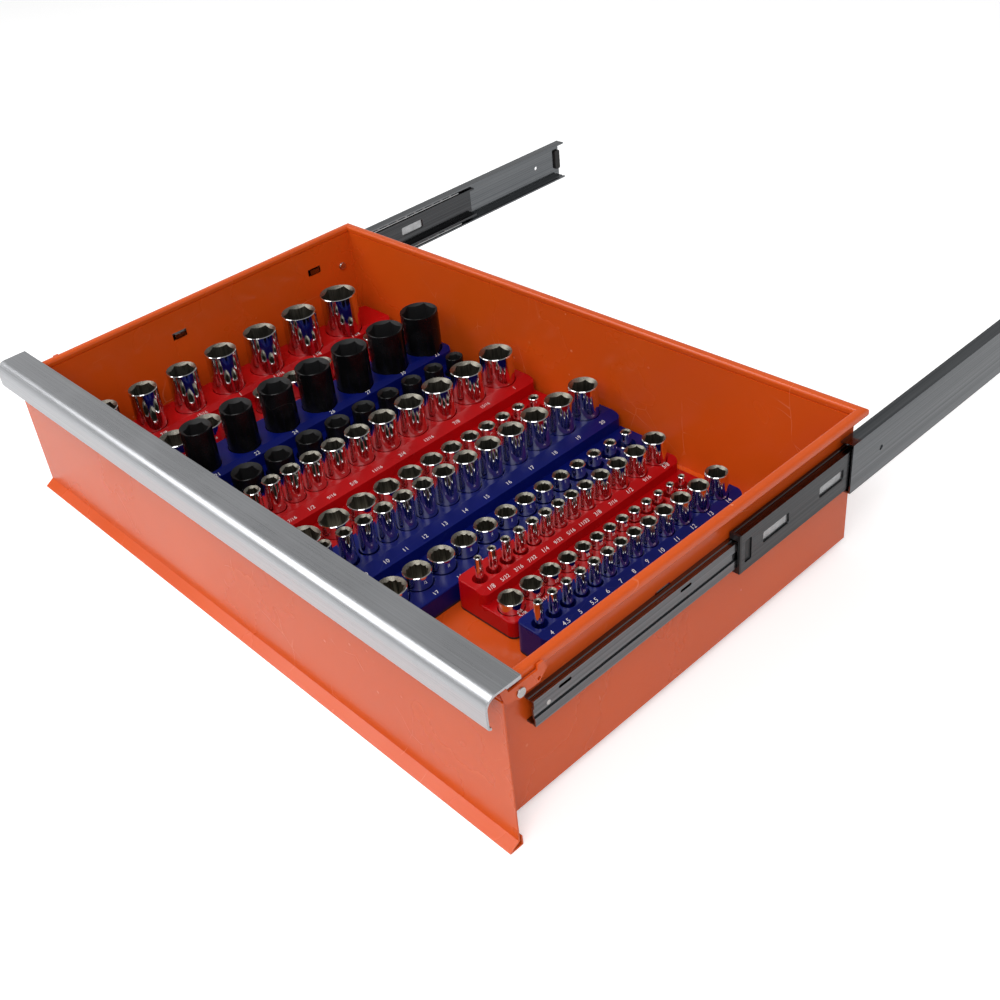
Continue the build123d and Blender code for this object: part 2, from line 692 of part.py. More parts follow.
def tray_body(tray):
    """A moulded tray: a low tier, a high tier with a sloping strip for the size marks, and the holes."""
    left, front = tray["left"], face + tray["front"]
    middle_y = front + tray["length"] / 2
    with BuildPart() as body:
        for width, height in ((tray["width"], tray["lower"]), (tray["step"], tray["upper"])):
            with BuildSketch(Plane.XY.offset(tray_bottom)):
                with Locations((left + width / 2, middle_y)):
                    RectangleRounded(width, tray["length"], tray_corner)
            extrude(amount=height - tray_bottom, taper=tray_draft)
            fillet(body.faces().sort_by(Axis.Z)[-1].outer_wire().edges(), tray_edge)
        with BuildSketch(across(front)):
            with BuildLine():
                Polyline((left + tray["label_start"], tray["upper"]), (left + tray["step"], tray["upper"]),
                         (left + tray["step"], tray["upper"] - label_fall),
                         (left + tray["label_start"], tray["upper"]))
            make_face()
        extrude(amount=-tray["length"], mode=Mode.SUBTRACT)
        for height in ("deep", "shallow"):
            with BuildSketch(Plane.XY.offset(tray["upper"])):
                for diameter, _, y in row_places(tray, height):
                    with Locations((left + tray[height + "_row"], y)):
                        Circle(diameter / 2 + hole_gap)
            extrude(amount=tray_bottom - tray["upper"], mode=Mode.SUBTRACT)
    return body


def socket(place, length, diameter, size, drive, points):
    """A socket standing on its drive end: narrower nose on small sizes, square below, hexagon above."""
    nose = min(diameter, nose_share * size + nose_wall)
    mouth = nose / 2 - mouth_rim
    funnel = (mouth - size / 2) * mouth_slope
    foot = Plane(origin=place)
    section = Plane(origin=place, x_dir=(1, 0, 0), z_dir=(0, -1, 0))
    with BuildPart(mode=Mode.PRIVATE) as body:
        with BuildSketch(section):
            with BuildLine():
                Polyline((0, 0), (diameter / 2 - socket_edge, 0), (diameter / 2, socket_edge),
                         (diameter / 2, length * neck_bottom), (nose / 2, length * neck_top),
                         (nose / 2, length - mouth_rim), (mouth, length), (size / 2, length - funnel),
                         (0, length - funnel), (0, 0))
            make_face()
        revolve(axis=Axis(place, (0, 0, 1)))
        with BuildSketch(foot.offset(length)):
            RegularPolygon(size / 2, 6, major_radius=False)
            if points == 12:
                RegularPolygon(size / 2, 6, major_radius=False, rotation=30)
        extrude(amount=drive + web_under_hex - length, mode=Mode.SUBTRACT)
        with BuildSketch(foot):
            Rectangle(drive, drive)
        extrude(amount=drive, mode=Mode.SUBTRACT)
    return body.part


def socket_row(tray, height, points):
    """A tray's deep or shallow row of sockets, from front to back."""
    x = tray["left"] + tray[height + "_row"]
    with BuildPart() as group:
        for diameter, size, y in row_places(tray, height):
            add(socket((x, y, tray_bottom), tray[height + "_length"], diameter, size, tray["drive"], points))
    return group


for tray in trays:
    keep(tray_base(tray), tray["name"] + "_base")
    keep(tray_body(tray), tray["name"] + "_tray")
    keep(socket_row(tray, "deep", 6), tray["name"] + "_deep_sockets")
    keep(socket_row(tray, "shallow", tray["points"]), tray["name"] + "_shallow_sockets")
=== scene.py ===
"""Dresses the socket drawer: paint, metals, plastics, size marks, studio and camera."""

import json
import math

import bmesh
import bpy
import numpy as np
from mathutils import Matrix, Vector


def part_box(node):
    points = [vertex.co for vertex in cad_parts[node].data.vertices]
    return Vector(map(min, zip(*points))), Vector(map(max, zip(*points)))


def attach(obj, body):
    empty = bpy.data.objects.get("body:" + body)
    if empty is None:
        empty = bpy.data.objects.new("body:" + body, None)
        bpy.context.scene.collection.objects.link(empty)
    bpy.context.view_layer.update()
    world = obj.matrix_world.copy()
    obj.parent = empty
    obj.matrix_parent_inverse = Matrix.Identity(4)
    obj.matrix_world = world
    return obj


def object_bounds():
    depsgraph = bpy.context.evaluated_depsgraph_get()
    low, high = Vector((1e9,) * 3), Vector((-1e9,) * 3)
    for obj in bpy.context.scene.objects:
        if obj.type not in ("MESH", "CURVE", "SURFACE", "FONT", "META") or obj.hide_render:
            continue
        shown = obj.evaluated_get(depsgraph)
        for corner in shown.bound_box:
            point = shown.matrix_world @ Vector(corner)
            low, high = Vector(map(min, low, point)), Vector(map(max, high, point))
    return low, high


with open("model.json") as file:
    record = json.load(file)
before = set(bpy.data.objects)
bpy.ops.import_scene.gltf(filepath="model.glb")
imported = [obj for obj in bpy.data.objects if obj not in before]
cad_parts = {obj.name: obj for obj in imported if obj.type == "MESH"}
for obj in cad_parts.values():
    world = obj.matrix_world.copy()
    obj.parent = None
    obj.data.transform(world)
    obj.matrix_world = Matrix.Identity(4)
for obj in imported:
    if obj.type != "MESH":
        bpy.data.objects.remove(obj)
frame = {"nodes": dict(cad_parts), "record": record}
cad_low, cad_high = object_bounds()
nodes = frame["nodes"]

MM = 0.001

# ---------------------------------------------------------------- colours
PAINT = (0.72, 0.098, 0.008)
PAINT_DEEP = (0.66, 0.084, 0.006)
PAINT_RUB = (0.90, 0.36, 0.20)
ALUMINIUM = (0.60, 0.61, 0.63)
ALUMINIUM_DEEP = (0.50, 0.51, 0.53)
# The rail zinc is far darker than bare zinc: a painted dark reflection of the black cabinet, in place
# of what the shiny web would mirror.
RAIL_ZINC_PAINTED_REFLECTION = (0.24, 0.25, 0.26)
RAIL_ZINC_PAINTED_REFLECTION_DEEP = (0.13, 0.14, 0.15)
# Darker still: the same zinc with painted shade, as if lying in the cabinet's shadow.
RAIL_ZINC_PAINTED_SHADE = (0.11, 0.115, 0.12)
RAIL_ZINC_PAINTED_SHADE_DEEP = (0.06, 0.06, 0.063)
ZINC = (0.56, 0.57, 0.58)
BRIGHT_STEEL = (0.68, 0.68, 0.67)
SPRING_STEEL = (0.22, 0.22, 0.23)
CHROME = (0.80, 0.80, 0.80)
CHROME_SMUDGED = (0.70, 0.70, 0.70)
# Much darker than plain steel: dull broached steel with painted shade inside the bore.
BROACHED_PAINTED_SHADE = (0.17, 0.16, 0.135)
PHOSPHATE = (0.003, 0.003, 0.0035)
PHOSPHATE_RUBBED = (0.007, 0.007, 0.008)
PHOSPHATE_SCRATCHED = (0.04, 0.04, 0.04)
PHOSPHATE_BORE = (0.0025, 0.0025, 0.003)
RED = (0.50, 0.003, 0.005)
BLUE = (0.002, 0.007, 0.135)
BLACK = (0.010, 0.010, 0.011)
RUBBER = (0.018, 0.018, 0.019)
MARK_WHITE = (0.86, 0.86, 0.86)
MARK_THIN = (0.74, 0.74, 0.74)
WHITE = (1.0, 1.0, 1.0)

# ---------------------------------------------------------------- roughness, relief and wear
UNIT = (0.0, 1.0)
MIDDLE = (0.3, 0.7)
PAINT_ROUGHNESS = (0.22, 0.31)
CHROME_ROUGHNESS = (0.05, 0.11)
PHOSPHATE_ROUGHNESS = (0.16, 0.27)
MARK_ROUGHNESS = (0.45, 0.6)
PEEL_RELIEF = 0.0006
SKIN_RELIEF = 0.0003
FINE_RELIEF = 0.0002
SMUDGE_PATCHES = (0.42, 0.68)
SCRATCH_PATCHES = (0.56, 0.66)
NICK_PATCHES = (0.57, 0.66)
NICK_RADIUS = (0.05, 0.10)
PAINT_SCRATCH = 0.5
PAINT_WEAR = 0.6
WORN_ROUGHER = 0.15
STREAK_CONTRAST = (0.36, 0.66)
BRUSHED_SMOOTHER = 0.06
BRUSHED_ROUGHER = 0.08
BRUSHED_SMUDGE = 0.06
BRUSHED_SCRATCH = 0.4
SPANGLE_REACH = (0.0, 0.8)
SPANGLE_DEEPER = 0.78
STEEL_ROUGHER = 0.12
STRIPE_CONTRAST = (0.4, 0.7)
STRIPE_LIGHTER = 2.1
BORE_ROUGHER = 0.15
SINK_DEEPER = 0.82
SINK_ROUGHER = 0.09
SINK_SHARE = 2.0
SCRATCHED_SHARE = 0.85
SCRATCHED_LIFT = 0.05
PLASTIC_SCRATCH = 0.35
INK_CONTRAST = (0.35, 0.65)
PHOSPHATE_SHINE = 0.22
TRAY_SHINE = 0.2
PLAIN_SHINE = 0.5
SCRATCH_BEND = (0.05, 0.02, 0.04)
SCRATCH_STRETCH = (1.0, 0.23, 0.6)
SCRATCH_WIDTH = 0.012
TURNED = (8.0, 8.0, 2600.0)
BROACHED_STRIPES = (1400.0, 1400.0, 60.0)


# ---------------------------------------------------------------- node helpers
def feed(tree, node, inputs):
    """Gives a node's inputs, by name or number, a plain value or a link from another socket."""
    for key, value in inputs.items():
        socket = node.inputs[key]
        if isinstance(value, bpy.types.NodeSocket):
            tree.links.new(value, socket)
        elif socket.type == "RGBA":
            socket.default_value = (*value, 1.0)
        else:
            socket.default_value = value


def place(tree, kind, inputs=None, **settings):
    """A node with its plain properties set and its inputs fed."""
    node = tree.nodes.new(kind)
    for name, value in settings.items():
        setattr(node, name, value)
    feed(tree, node, inputs or {})
    return node


def remap(tree, value, span, onto=UNIT):
    """Value stretched from one span onto another, clamped."""
    inputs = {
        "Value": value, "From Min": span[0], "From Max": span[1], "To Min": onto[0], "To Max": onto[1],
    }
    return place(tree, "ShaderNodeMapRange", inputs, clamp=True).outputs["Result"]


def math_of(tree, operation, one, two):
    """Two values through a math operation; either may be a number."""
    return place(tree, "ShaderNodeMath", {0: one, 1: two}, operation=operation).outputs[0]


def times(tree, one, two):
    """Two values multiplied."""
    return math_of(tree, "MULTIPLY", one, two)


def plus(tree, one, two):
    """Two values added."""
    return math_of(tree, "ADD", one, two)


def blend_colours(tree, factor, one, two):
    """Colour between one and two; each is a colour or a socket."""
    node = place(tree, "ShaderNodeMix", {"Factor": factor}, data_type="RGBA")
    colours = [number for number, socket in enumerate(node.inputs) if socket.type == "RGBA"]
    feed(tree, node, dict(zip(colours, (one, two))))
    return next(socket for socket in node.outputs if socket.type == "RGBA")


def group_tree(name, inputs, outputs):
    """A node group with named float inputs and outputs: (tree, group input, group output)."""
    tree = bpy.data.node_groups.new(name, "ShaderNodeTree")
    for way, labels in (("INPUT", inputs), ("OUTPUT", outputs)):
        for label in labels:
            tree.interface.new_socket(label, in_out=way, socket_type="NodeSocketFloat")
    return tree, tree.nodes.new("NodeGroupInput"), tree.nodes.new("NodeGroupOutput")


def coordinates(tree, scales=(1.0, 1.0, 1.0)):
    """Object coordinates times a scale for each axis."""
    source = place(tree, "ShaderNodeTexCoord").outputs["Object"]
    return place(tree, "ShaderNodeMapping", {"Vector": source, "Scale": scales}).outputs["Vector"]


def noise(tree, vector, scale, detail=2.0, roughness=0.5):
    """Noise value at a vector."""
    inputs = {"Vector": vector, "Scale": scale, "Detail": detail, "Roughness": roughness}
    return place(tree, "ShaderNodeTexNoise", inputs).outputs["Fac"]


def cells(tree, vector, scale, feature="F1"):
    """Distance to the nearest point of a Voronoi pattern, or to the edge of its cell."""
    inputs = {"Vector": vector, "Scale": scale}
    return place(tree, "ShaderNodeTexVoronoi", inputs, feature=feature).outputs["Distance"]


def bump(tree, height, strength, distance):
    """Normal bent by a height."""
    inputs = {"Height": height, "Strength": strength, "Distance": distance}
    return place(tree, "ShaderNodeBump", inputs).outputs["Normal"]


# ---------------------------------------------------------------- shared effects
def handling_marks():
    """Soft smudges from hands and fine scratches in every direction."""
    scales = ("Smudge scale", "Scratch scale")
    tree, given, result = group_tree("Handling marks", scales, ("Smudge", "Scratch"))
    where = coordinates(tree)
    cloud = noise(tree, where, given.outputs["Smudge scale"], detail=4.0)
    warp = place(tree, "ShaderNodeTexNoise", {"Vector": where, "Scale": 9.0}).outputs["Color"]
    stretched = coordinates(tree, SCRATCH_STRETCH)
    inputs = {0: warp, 1: SCRATCH_BEND, 2: stretched}
    bent = place(tree, "ShaderNodeVectorMath", inputs, operation="MULTIPLY_ADD").outputs["Vector"]
    edge = cells(tree, bent, given.outputs["Scratch scale"], "DISTANCE_TO_EDGE")
    line = remap(tree, edge, (0.0, SCRATCH_WIDTH), onto=(1.0, 0.0))
    patch = remap(tree, noise(tree, where, scale=14.0, detail=3.0), SCRATCH_PATCHES)
    feed(tree, result, {
        "Smudge": remap(tree, cloud, SMUDGE_PATCHES),
        "Scratch": times(tree, line, patch),
    })
    return tree


def rolled_grain(name, scales):
    """Long streaks of rolled, drawn or brushed metal; the scale along the grain is small."""
    tree, _, result = group_tree(name, (), ("Streak", "Fine"))
    where = coordinates(tree, scales)
    feed(tree, result, {
        "Streak": noise(tree, where, scale=1.0, detail=5.0, roughness=0.65),
        "Fine": noise(tree, where, scale=3.7, detail=3.0, roughness=0.7),
    })
    return tree


def moulded_skin():
    """The fine sparkle and slow sink of moulded plastic."""
    tree, _, result = group_tree("Moulded skin", (), ("Texture", "Sink"))
    where = coordinates(tree)
    feed(tree, result, {
        "Texture": noise(tree, where, scale=900.0),
        "Sink": noise(tree, where, scale=26.0),
    })
    return tree


MARKS = handling_marks()
GRAIN_X = rolled_grain("Grain along the width", (2.5, 900.0, 900.0))
GRAIN_Y = rolled_grain("Grain along the depth", (900.0, 2.5, 900.0))
SKIN = moulded_skin()


def use_group(tree, group):
    """A shared effect placed in a material."""
    return place(tree, "ShaderNodeGroup", node_tree=group)


def use_marks(tree, smudge_scale, scratch_scale):
    """The handling marks at a material's own scales: (smudge, scratch)."""
    node = use_group(tree, MARKS)
    feed(tree, node, {"Smudge scale": smudge_scale, "Scratch scale": scratch_scale})
    return node.outputs["Smudge"], node.outputs["Scratch"]


def material(name):
    """A fresh material: (material, tree, shader)."""
    made = bpy.data.materials.new(name)
    made.use_nodes = True
    tree = made.node_tree
    return made, tree, tree.nodes["Principled BSDF"]


# ---------------------------------------------------------------- materials
def paint_material():
    """Orange powder coat: a glossy skin with orange peel, small nicks and short pale streaks."""
    made, tree, shader = material("orange_powder_coat")
    where = coordinates(tree)
    smudge, scratch = use_marks(tree, smudge_scale=9.0, scratch_scale=34.0)
    spot = remap(tree, cells(tree, where, scale=62.0), NICK_RADIUS, onto=(1.0, 0.0))
    area = remap(tree, noise(tree, where, scale=7.0, detail=3.0), NICK_PATCHES)
    worn = math_of(tree, "MAXIMUM", times(tree, spot, area), times(tree, scratch, PAINT_SCRATCH))
    cloud = remap(tree, noise(tree, where, scale=6.0), MIDDLE)
    tint = blend_colours(tree, cloud, PAINT, PAINT_DEEP)
    rough = remap(tree, smudge, UNIT, onto=PAINT_ROUGHNESS)
    peel = noise(tree, where, scale=330.0, detail=1.0)
    feed(tree, shader, {
        "Base Color": blend_colours(tree, times(tree, worn, PAINT_WEAR), tint, PAINT_RUB),
        "Roughness": plus(tree, rough, times(tree, worn, WORN_ROUGHER)),
        "Normal": bump(tree, peel, strength=0.08, distance=PEEL_RELIEF),
    })
    return made


def brushed_material(name, colour, deep, group, roughness, lift):
    """Metal brushed, rolled or drawn along one direction."""
    made, tree, shader = material(name)
    grain = use_group(tree, group)
    smudge, scratch = use_marks(tree, smudge_scale=14.0, scratch_scale=50.0)
    tone = remap(tree, grain.outputs["Streak"], STREAK_CONTRAST)
    spread = (roughness - BRUSHED_SMOOTHER, roughness + BRUSHED_ROUGHER)
    rough = remap(tree, grain.outputs["Fine"], MIDDLE, onto=spread)
    height = plus(tree, grain.outputs["Streak"], times(tree, scratch, BRUSHED_SCRATCH))
    feed(tree, shader, {
        "Base Color": blend_colours(tree, tone, deep, colour),
        "Roughness": plus(tree, rough, times(tree, smudge, BRUSHED_SMUDGE)),
        "Metallic": 1.0,
        "Normal": bump(tree, height, strength=lift, distance=FINE_RELIEF),
    })
    return made


def steel_material(name, colour, roughness):
    """Plain zinc-plated or hardened steel with faint spangle and wear."""
    made, tree, shader = material(name)
    smudge, scratch = use_marks(tree, smudge_scale=40.0, scratch_scale=120.0)
    spangle = remap(tree, cells(tree, coordinates(tree), scale=160.0), SPANGLE_REACH)
    darker = tuple(SPANGLE_DEEPER * part for part in colour)
    feed(tree, shader, {
        "Base Color": blend_colours(tree, spangle, colour, darker),
        "Roughness": remap(tree, smudge, UNIT, onto=(roughness, roughness + STEEL_ROUGHER)),
        "Metallic": 1.0,
        "Normal": bump(tree, scratch, strength=0.15, distance=FINE_RELIEF),
    })
    return made


def chrome_material():
    """Polished chrome with the faint turning marks left under the plating."""
    made, tree, shader = material("polished_chrome")
    smudge, _ = use_marks(tree, smudge_scale=70.0, scratch_scale=160.0)
    turned = noise(tree, coordinates(tree, TURNED), scale=1.0)
    height = plus(tree, turned, noise(tree, coordinates(tree), scale=120.0))
    feed(tree, shader, {
        "Base Color": blend_colours(tree, smudge, CHROME, CHROME_SMUDGED),
        "Roughness": remap(tree, smudge, UNIT, onto=CHROME_ROUGHNESS),
        "Metallic": 1.0,
        "Normal": bump(tree, height, strength=0.05, distance=FINE_RELIEF),
    })
    return made


def bore_material(name, colour, metallic, roughness):
    """The broached inside of a socket: dull, oily and striped along its depth."""
    made, tree, shader = material(name)
    stripes = noise(tree, coordinates(tree, BROACHED_STRIPES), scale=1.0, detail=3.0)
    lighter = tuple(STRIPE_LIGHTER * part for part in colour)
    feed(tree, shader, {
        "Base Color": blend_colours(tree, remap(tree, stripes, STRIPE_CONTRAST), colour, lighter),
        "Roughness": remap(tree, stripes, MIDDLE, onto=(roughness, roughness + BORE_ROUGHER)),
        "Metallic": metallic,
        "Normal": bump(tree, stripes, strength=0.2, distance=FINE_RELIEF),
    })
    return made


def phosphate_material():
    """Black phosphate on impact sockets: satin, with rubbed patches."""
    made, tree, shader = material("black_phosphate")
    smudge, scratch = use_marks(tree, smudge_scale=55.0, scratch_scale=120.0)
    rubbed = blend_colours(tree, smudge, PHOSPHATE, PHOSPHATE_RUBBED)
    grit = noise(tree, coordinates(tree), scale=1500.0)
    feed(tree, shader, {
        "Base Color": blend_colours(tree, scratch, rubbed, PHOSPHATE_SCRATCHED),
        "Roughness": remap(tree, smudge, UNIT, onto=PHOSPHATE_ROUGHNESS),
        "Specular IOR Level": PHOSPHATE_SHINE,
        "Normal": bump(tree, grit, strength=0.12, distance=SKIN_RELIEF),
    })
    return made


def plastic_material(name, colour, roughness, shine=PLAIN_SHINE):
    """Moulded plastic: satin, with slow sink marks and pale scratches."""
    made, tree, shader = material(name)
    skin = use_group(tree, SKIN)
    _, scratch = use_marks(tree, smudge_scale=30.0, scratch_scale=80.0)
    sink = skin.outputs["Sink"]
    deeper = tuple(SINK_DEEPER * part for part in colour)
    pale = tuple(SCRATCHED_SHARE * part + SCRATCHED_LIFT for part in colour)
    tone = blend_colours(tree, remap(tree, sink, MIDDLE), deeper, colour)
    height = plus(tree, skin.outputs["Texture"], times(tree, sink, SINK_SHARE))
    feed(tree, shader, {
        "Base Color": blend_colours(tree, times(tree, scratch, PLASTIC_SCRATCH), tone, pale),
        "Roughness": remap(tree, sink, MIDDLE, onto=(roughness, roughness + SINK_ROUGHER)),
        "Specular IOR Level": shine,
        "Normal": bump(tree, height, strength=0.10, distance=SKIN_RELIEF),
    })
    return made


def mark_material():
    """White pad-printed size marks, a little uneven."""
    made, tree, shader = material("white_print")
    ink = remap(tree, noise(tree, coordinates(tree), scale=700.0, detail=3.0), INK_CONTRAST)
    feed(tree, shader, {
        "Base Color": blend_colours(tree, ink, MARK_THIN, MARK_WHITE),
        "Roughness": remap(tree, ink, UNIT, onto=MARK_ROUGHNESS),
    })
    return made


PAINTED = paint_material()
FINISHES = {
    "orange_paint": PAINTED,
    "handle_aluminium": brushed_material(
        "brushed_aluminium", ALUMINIUM, ALUMINIUM_DEEP, GRAIN_X, roughness=0.30, lift=0.10
    ),
    "screw_steel": steel_material("zinc_screws", BRIGHT_STEEL, roughness=0.24),
    "latch_steel": steel_material("zinc_latch", ZINC, roughness=0.28),
    "latch_paint": PAINTED,
    "spring_steel": steel_material("spring_wire", SPRING_STEEL, roughness=0.32),
    # Zinc rail colour darkened as a painted dark reflection of the surroundings.
    "zinc_rail": brushed_material(
        "zinc_rail_painted_dark_reflection", RAIL_ZINC_PAINTED_REFLECTION, RAIL_ZINC_PAINTED_REFLECTION_DEEP, GRAIN_Y, roughness=0.12, lift=0.05
    ),
    # Same zinc as the rail above, darkened as painted shade.
    "dark_rail": brushed_material(
        "zinc_rail_painted_shade", RAIL_ZINC_PAINTED_SHADE, RAIL_ZINC_PAINTED_SHADE_DEEP, GRAIN_Y, roughness=0.18, lift=0.05
    ),
    "cage_steel": steel_material("ball_cage_strip", ZINC, roughness=0.26),
    "ball_steel": steel_material("bearing_balls", BRIGHT_STEEL, roughness=0.07),
    "black_plastic": plastic_material("black_end_cap", BLACK, roughness=0.38),
    "black_rubber": plastic_material("black_buffer", RUBBER, roughness=0.55),
    "magnetic_sheet": plastic_material("magnetic_base_sheet", RUBBER, roughness=0.55),
    "red_tray": plastic_material("red_tray_plastic", RED, roughness=0.26, shine=TRAY_SHINE),
    "blue_tray": plastic_material("blue_tray_plastic", BLUE, roughness=0.26, shine=TRAY_SHINE),
    "socket_chrome": chrome_material(),
    "impact_black": phosphate_material(),
}
BORES = {
    # The chrome sockets' bore colour is darkened as painted shade on the inside walls and floors.
    "socket_chrome": bore_material("broached_steel_painted_shade", BROACHED_PAINTED_SHADE, metallic=1.0, roughness=0.34),
    "impact_black": bore_material("black_socket_bore", PHOSPHATE_BORE, metallic=0.0, roughness=0.55),
}
WHITE_PRINT = mark_material()

slot_of = {part["node"]: part["material_slot"] for part in frame["record"]["subparts"]}
for name, node in nodes.items():
    node.data.materials.clear()
    node.data.materials.append(FINISHES[slot_of[name]])


# ---------------------------------------------------------------- sockets
BORE_FLOOR_DEPTH = 3 * MM
FLAT = 0.95


def face_arrays(mesh):
    """Centres and normals of a mesh's faces."""
    centres = np.zeros(len(mesh.polygons) * 3, np.float32)
    normals = np.zeros(len(mesh.polygons) * 3, np.float32)
    mesh.polygons.foreach_get("center", centres)
    mesh.polygons.foreach_get("normal", normals)
    return centres.reshape(-1, 3), normals.reshape(-1, 3)


def socket_depths(name):
    """Where each socket of a row stands: the middles of the stretches of depth its faces cover."""
    mesh = nodes[name].data
    points = np.zeros(len(mesh.vertices) * 3, np.float32)
    mesh.vertices.foreach_get("co", points)
    depths = points.reshape(-1, 3)[:, 1]
    corners = np.zeros(len(mesh.polygons) * 3, np.int32)
    mesh.polygons.foreach_get("vertices", corners)
    spans = depths[corners.reshape(-1, 3)]
    order = np.argsort(spans.min(axis=1))
    starts = spans.min(axis=1)[order]
    ends = spans.max(axis=1)[order]
    middles = []
    front, back = starts[0], ends[0]
    for start, end in zip(starts, ends):
        if start > back:
            middles.append((front + back) / 2)
            front, back = start, end
        else:
            back = max(back, end)
    middles.append((front + back) / 2)
    return middles


def dull_bores(name, bore):
    """Gives the inside faces of a row's sockets their own finish; for chrome sockets it is darker,
    partly dull broached steel and partly painted shade inside the bore.
    """
    mesh = nodes[name].data
    mesh.materials.append(bore)
    centres, normals = face_arrays(mesh)
    low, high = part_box(name)
    rows = np.array(socket_depths(name))
    nearest = rows[np.abs(centres[:, 1:2] - rows[None, :]).argmin(axis=1)]
    out_x = centres[:, 0] - (low.x + high.x) / 2
    out_y = centres[:, 1] - nearest
    facing = normals[:, 0] * out_x + normals[:, 1] * out_y
    wall = (facing < 0) & (normals[:, 2] < FLAT)
    floor = (normals[:, 2] >= FLAT) & (centres[:, 2] < high.z - BORE_FLOOR_DEPTH)
    mesh.polygons.foreach_set("material_index", (wall | floor).astype(np.int32))


for name in nodes:
    if name.endswith("_sockets"):
        dull_bores(name, BORES[slot_of[name]])


# ---------------------------------------------------------------- size marks
def strips(**millimetres):
    """Where a tray's marks go. Beside the deep row they lie on a strip that slopes down by fall
    from the upper tier, between start and step from the tray's left side. The shallow row's lie
    on the lower tier, edge away from its right side."""
    return {name: size * MM for name, size in millimetres.items()}


QUARTER = strips(start=24.5, step=34.0, fall=4.0, upper=31.0, lower=18.0, edge=3.2)
THREE_EIGHTH = strips(start=42.0, step=56.0, fall=4.0, upper=35.0, lower=20.0, edge=5.0)
HALF = strips(start=42.0, step=50.0, fall=4.0, upper=38.0, lower=22.0, edge=7.0)
SIXTEENTHS = [
    "1/4", "5/16", "3/8", "7/16", "1/2", "9/16", "5/8", "11/16", "3/4", "13/16", "7/8", "15/16", "1",
]
SMALL_INCHES = [
    "1/8", "5/32", "3/16", "7/32", "1/4", "9/32", "5/16", "11/32", "3/8", "7/16", "1/2", "9/16", "5/8",
]
SMALL_METRIC = ["4", "4.5", "5", "5.5", "6", "7", "8", "9", "10", "11", "12", "13", "14"]
SIZE_MARKS = {
    "half_inch_fractional": (
        HALF,
        ["13/16", "7/8", "15/16", "1", "1 1/16", "1 1/8", "1 1/4"],
        SIXTEENTHS[:3:-1],
    ),
    "half_inch_metric": (
        HALF,
        ["19", "21", "22", "24", "26", "27", "30", "32"],
        ["22", "21", "19", "18", "17", "16", "15", "14", "13", "12"],
    ),
    "three_eighth_fractional": (THREE_EIGHTH, SIXTEENTHS[1:], SIXTEENTHS[::-1]),
    "three_eighth_metric": (
        THREE_EIGHTH,
        [str(size) for size in range(7, 21)],
        [str(size) for size in range(19, 5, -1)],
    ),
    "quarter_inch_fractional": (QUARTER, SMALL_INCHES, SMALL_INCHES[::-1]),
    "quarter_inch_metric": (QUARTER, SMALL_METRIC, SMALL_METRIC[::-1]),
}
MARK_HEIGHT = 5.6 * MM
LONG_MARK_HEIGHT = 4.8 * MM
LONG_MARK = 4
LETTER_SPACE = 1.08
MARK_THICK = 0.04 * MM
MARK_LIFT = 0.05 * MM
MARK_PLACE = 0.56


def lettering(text):
    """A flat mesh of a size mark, centred, its baseline along X."""
    curve = bpy.data.curves.new("mark", "FONT")
    curve.body = text
    curve.size = LONG_MARK_HEIGHT if len(text) >= LONG_MARK else MARK_HEIGHT
    curve.align_x = "CENTER"
    curve.align_y = "CENTER"
    curve.extrude = MARK_THICK
    curve.space_character = LETTER_SPACE
    holder = bpy.data.objects.new("mark", curve)
    mesh = bpy.data.meshes.new_from_object(holder)
    bpy.data.objects.remove(holder)
    return mesh


def print_row(shape, texts, depths, spot, across):
    """Adds a row of marks, one at each depth and level with spot, that read towards the back.
    The surface under them runs along across."""
    along = Vector((0.0, 1.0, 0.0))
    outward = across.cross(along)
    turned = Matrix((along, -across, outward)).transposed().to_4x4()
    for text, depth in zip(texts, depths):
        mesh = lettering(text)
        at = Vector((spot.x, depth, spot.z)) + outward * MARK_LIFT
        mesh.transform(Matrix.Translation(at) @ turned)
        shape.from_mesh(mesh)
        bpy.data.meshes.remove(mesh)


def size_marks(tray, layout, deep_texts, shallow_texts):
    """The white size marks printed on a tray, one beside each socket."""
    low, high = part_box(tray + "_tray")
    slope = Vector((layout["step"] - layout["start"], 0.0, -layout["fall"]))
    strip = Vector((low.x + layout["start"], 0.0, layout["upper"])) + slope * MARK_PLACE
    edge = Vector((high.x - layout["edge"], 0.0, layout["lower"]))
    level = Vector((1.0, 0.0, 0.0))
    shape = bmesh.new()
    print_row(shape, deep_texts, socket_depths(tray + "_deep_sockets"), strip, slope.normalized())
    print_row(shape, shallow_texts, socket_depths(tray + "_shallow_sockets"), edge, level)
    made = bpy.data.meshes.new(tray + "_marks")
    shape.to_mesh(made)
    shape.free()
    piece = bpy.data.objects.new(tray + "_marks", made)
    bpy.context.scene.collection.objects.link(piece)
    made.materials.append(WHITE_PRINT)
    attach(piece, tray + "_set")


for tray, (layout, deep_texts, shallow_texts) in SIZE_MARKS.items():
    size_marks(tray, layout, deep_texts, shallow_texts)


# ---------------------------------------------------------------- studio
FLOOR = (0.92, 0.92, 0.92)
FLOOR_WIDTH = 12.0
FLOOR_DEPTH = 12.0
FLOOR_ROUGHNESS = 0.6
FLOOR_LIFT = 0.42
LIGHT_AIM = (0.0, 0.0, 0.05)
LIGHT_SIZE = 1.6
KEY_PLACE = (1.2, -1.4, 2.2)
KEY_POWER = 38.0
SIDE_PLACE = (-1.3, -0.9, 2.0)
SIDE_POWER = 26.0
PLAIN_STRENGTH = 0.42
REFLECTED_FADE = (0.0, 0.45)
REFLECTED_WHITE = (1.0, 0.30)


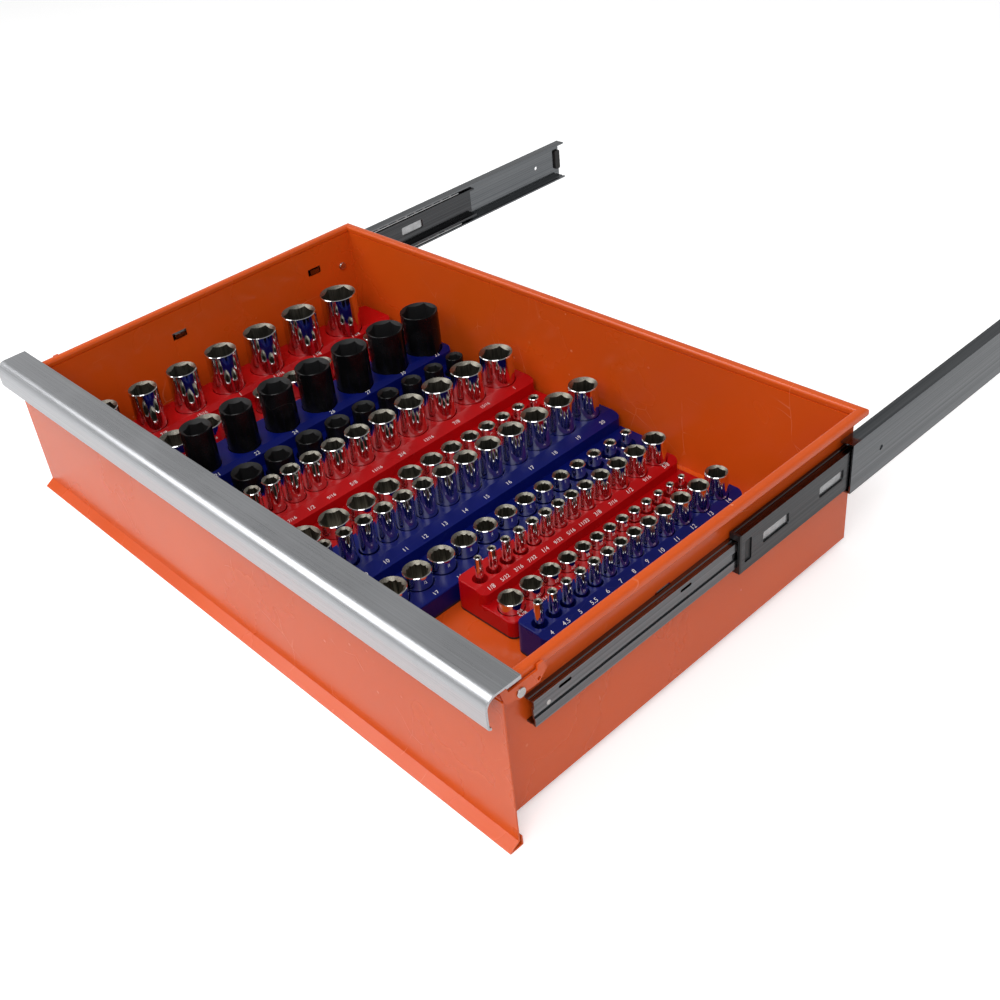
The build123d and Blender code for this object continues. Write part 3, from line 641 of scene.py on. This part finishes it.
def sheet_of(name, width, depth, height, colour, roughness):
    """A plain level sheet for the studio, whitened for the camera alone."""
    mesh = bpy.data.meshes.new(name)
    shape = bmesh.new()
    bmesh.ops.create_grid(shape, x_segments=1, y_segments=1, size=0.5)
    bmesh.ops.scale(shape, verts=shape.verts, vec=(width, depth, 1.0))
    bmesh.ops.translate(shape, verts=shape.verts, vec=(0.0, 0.0, height))
    shape.to_mesh(mesh)
    shape.free()
    piece = bpy.data.objects.new(name, mesh)
    bpy.context.scene.collection.objects.link(piece)
    made, tree, shader = material(name)
    paths = place(tree, "ShaderNodeLightPath")
    feed(tree, shader, {
        "Base Color": colour,
        "Roughness": roughness,
        "Emission Color": WHITE,
        "Emission Strength": times(tree, paths.outputs["Is Camera Ray"], FLOOR_LIFT),
    })
    mesh.materials.append(made)
    return piece


def area_light(name, at, power):
    """A square soft light aimed at the drawer."""
    data = bpy.data.lights.new(name, "AREA")
    data.shape = "SQUARE"
    data.size = LIGHT_SIZE
    data.energy = power
    lamp = bpy.data.objects.new(name, data)
    lamp.location = at
    lamp.rotation_euler = (Vector(LIGHT_AIM) - Vector(at)).to_track_quat("-Z", "Y").to_euler()
    bpy.context.scene.collection.objects.link(lamp)


def light_blend(tree, factor, one, two):
    """One light shader where factor is 0 and the other where it is 1."""
    return place(tree, "ShaderNodeMixShader", {"Fac": factor, 1: one, 2: two}).outputs["Shader"]


def background(tree, colour, strength):
    """Light from all round."""
    inputs = {"Color": colour, "Strength": strength}
    return place(tree, "ShaderNodeBackground", inputs).outputs["Background"]


def studio_world():
    """White behind the drawer, light that dims upwards in its reflections, plain light elsewhere."""
    world = bpy.data.worlds.new("studio")
    bpy.context.scene.world = world
    world.use_nodes = True
    tree = world.node_tree
    tree.nodes.clear()
    rays = place(tree, "ShaderNodeLightPath").outputs
    mirrored = math_of(tree, "MAXIMUM", rays["Is Glossy Ray"], rays["Is Transmission Ray"])
    direction = place(tree, "ShaderNodeTexCoord").outputs["Generated"]
    upward = place(tree, "ShaderNodeSeparateXYZ", {"Vector": direction}).outputs["Z"]
    fade = remap(tree, upward, REFLECTED_FADE, onto=REFLECTED_WHITE)
    plain = background(tree, WHITE, PLAIN_STRENGTH)
    reflected = background(tree, fade, 1.0)
    unseen = light_blend(tree, mirrored, plain, reflected)
    seen = light_blend(tree, rays["Is Camera Ray"], unseen, background(tree, WHITE, 1.0))
    place(tree, "ShaderNodeOutputWorld", {"Surface": seen})


studio_world()
sheet_of("studio_floor", FLOOR_WIDTH, FLOOR_DEPTH, cad_low.z, FLOOR, FLOOR_ROUGHNESS)
area_light("key", KEY_PLACE, KEY_POWER)
area_light("side", SIDE_PLACE, SIDE_POWER)

# ---------------------------------------------------------------- camera
EYE = (0.7418, -0.5370, 0.6570)
AZIMUTH = math.radians(52.967)
ELEVATION = math.radians(34.536)
ROLL = math.radians(-8.445)
FOCAL_PIXELS = 1223.76
PHOTO_PIXELS = 1000.0
CENTRE_PIXEL = (430.0, 480.0)
SENSOR_WIDTH = 36.0

lens = bpy.data.cameras.new("camera")
lens.sensor_width = SENSOR_WIDTH
lens.lens = FOCAL_PIXELS / PHOTO_PIXELS * SENSOR_WIDTH
lens.shift_x = (PHOTO_PIXELS / 2 - CENTRE_PIXEL[0]) / PHOTO_PIXELS
lens.shift_y = (CENTRE_PIXEL[1] - PHOTO_PIXELS / 2) / PHOTO_PIXELS
camera = bpy.data.objects.new("camera", lens)
turn = Matrix.Rotation(AZIMUTH, 4, "Z") @ Matrix.Rotation(math.pi / 2 - ELEVATION, 4, "X")
camera.matrix_world = Matrix.Translation(EYE) @ turn @ Matrix.Rotation(ROLL, 4, "Z")
bpy.context.scene.collection.objects.link(camera)
bpy.context.scene.camera = camera
bpy.context.scene.view_settings.view_transform = "Standard"
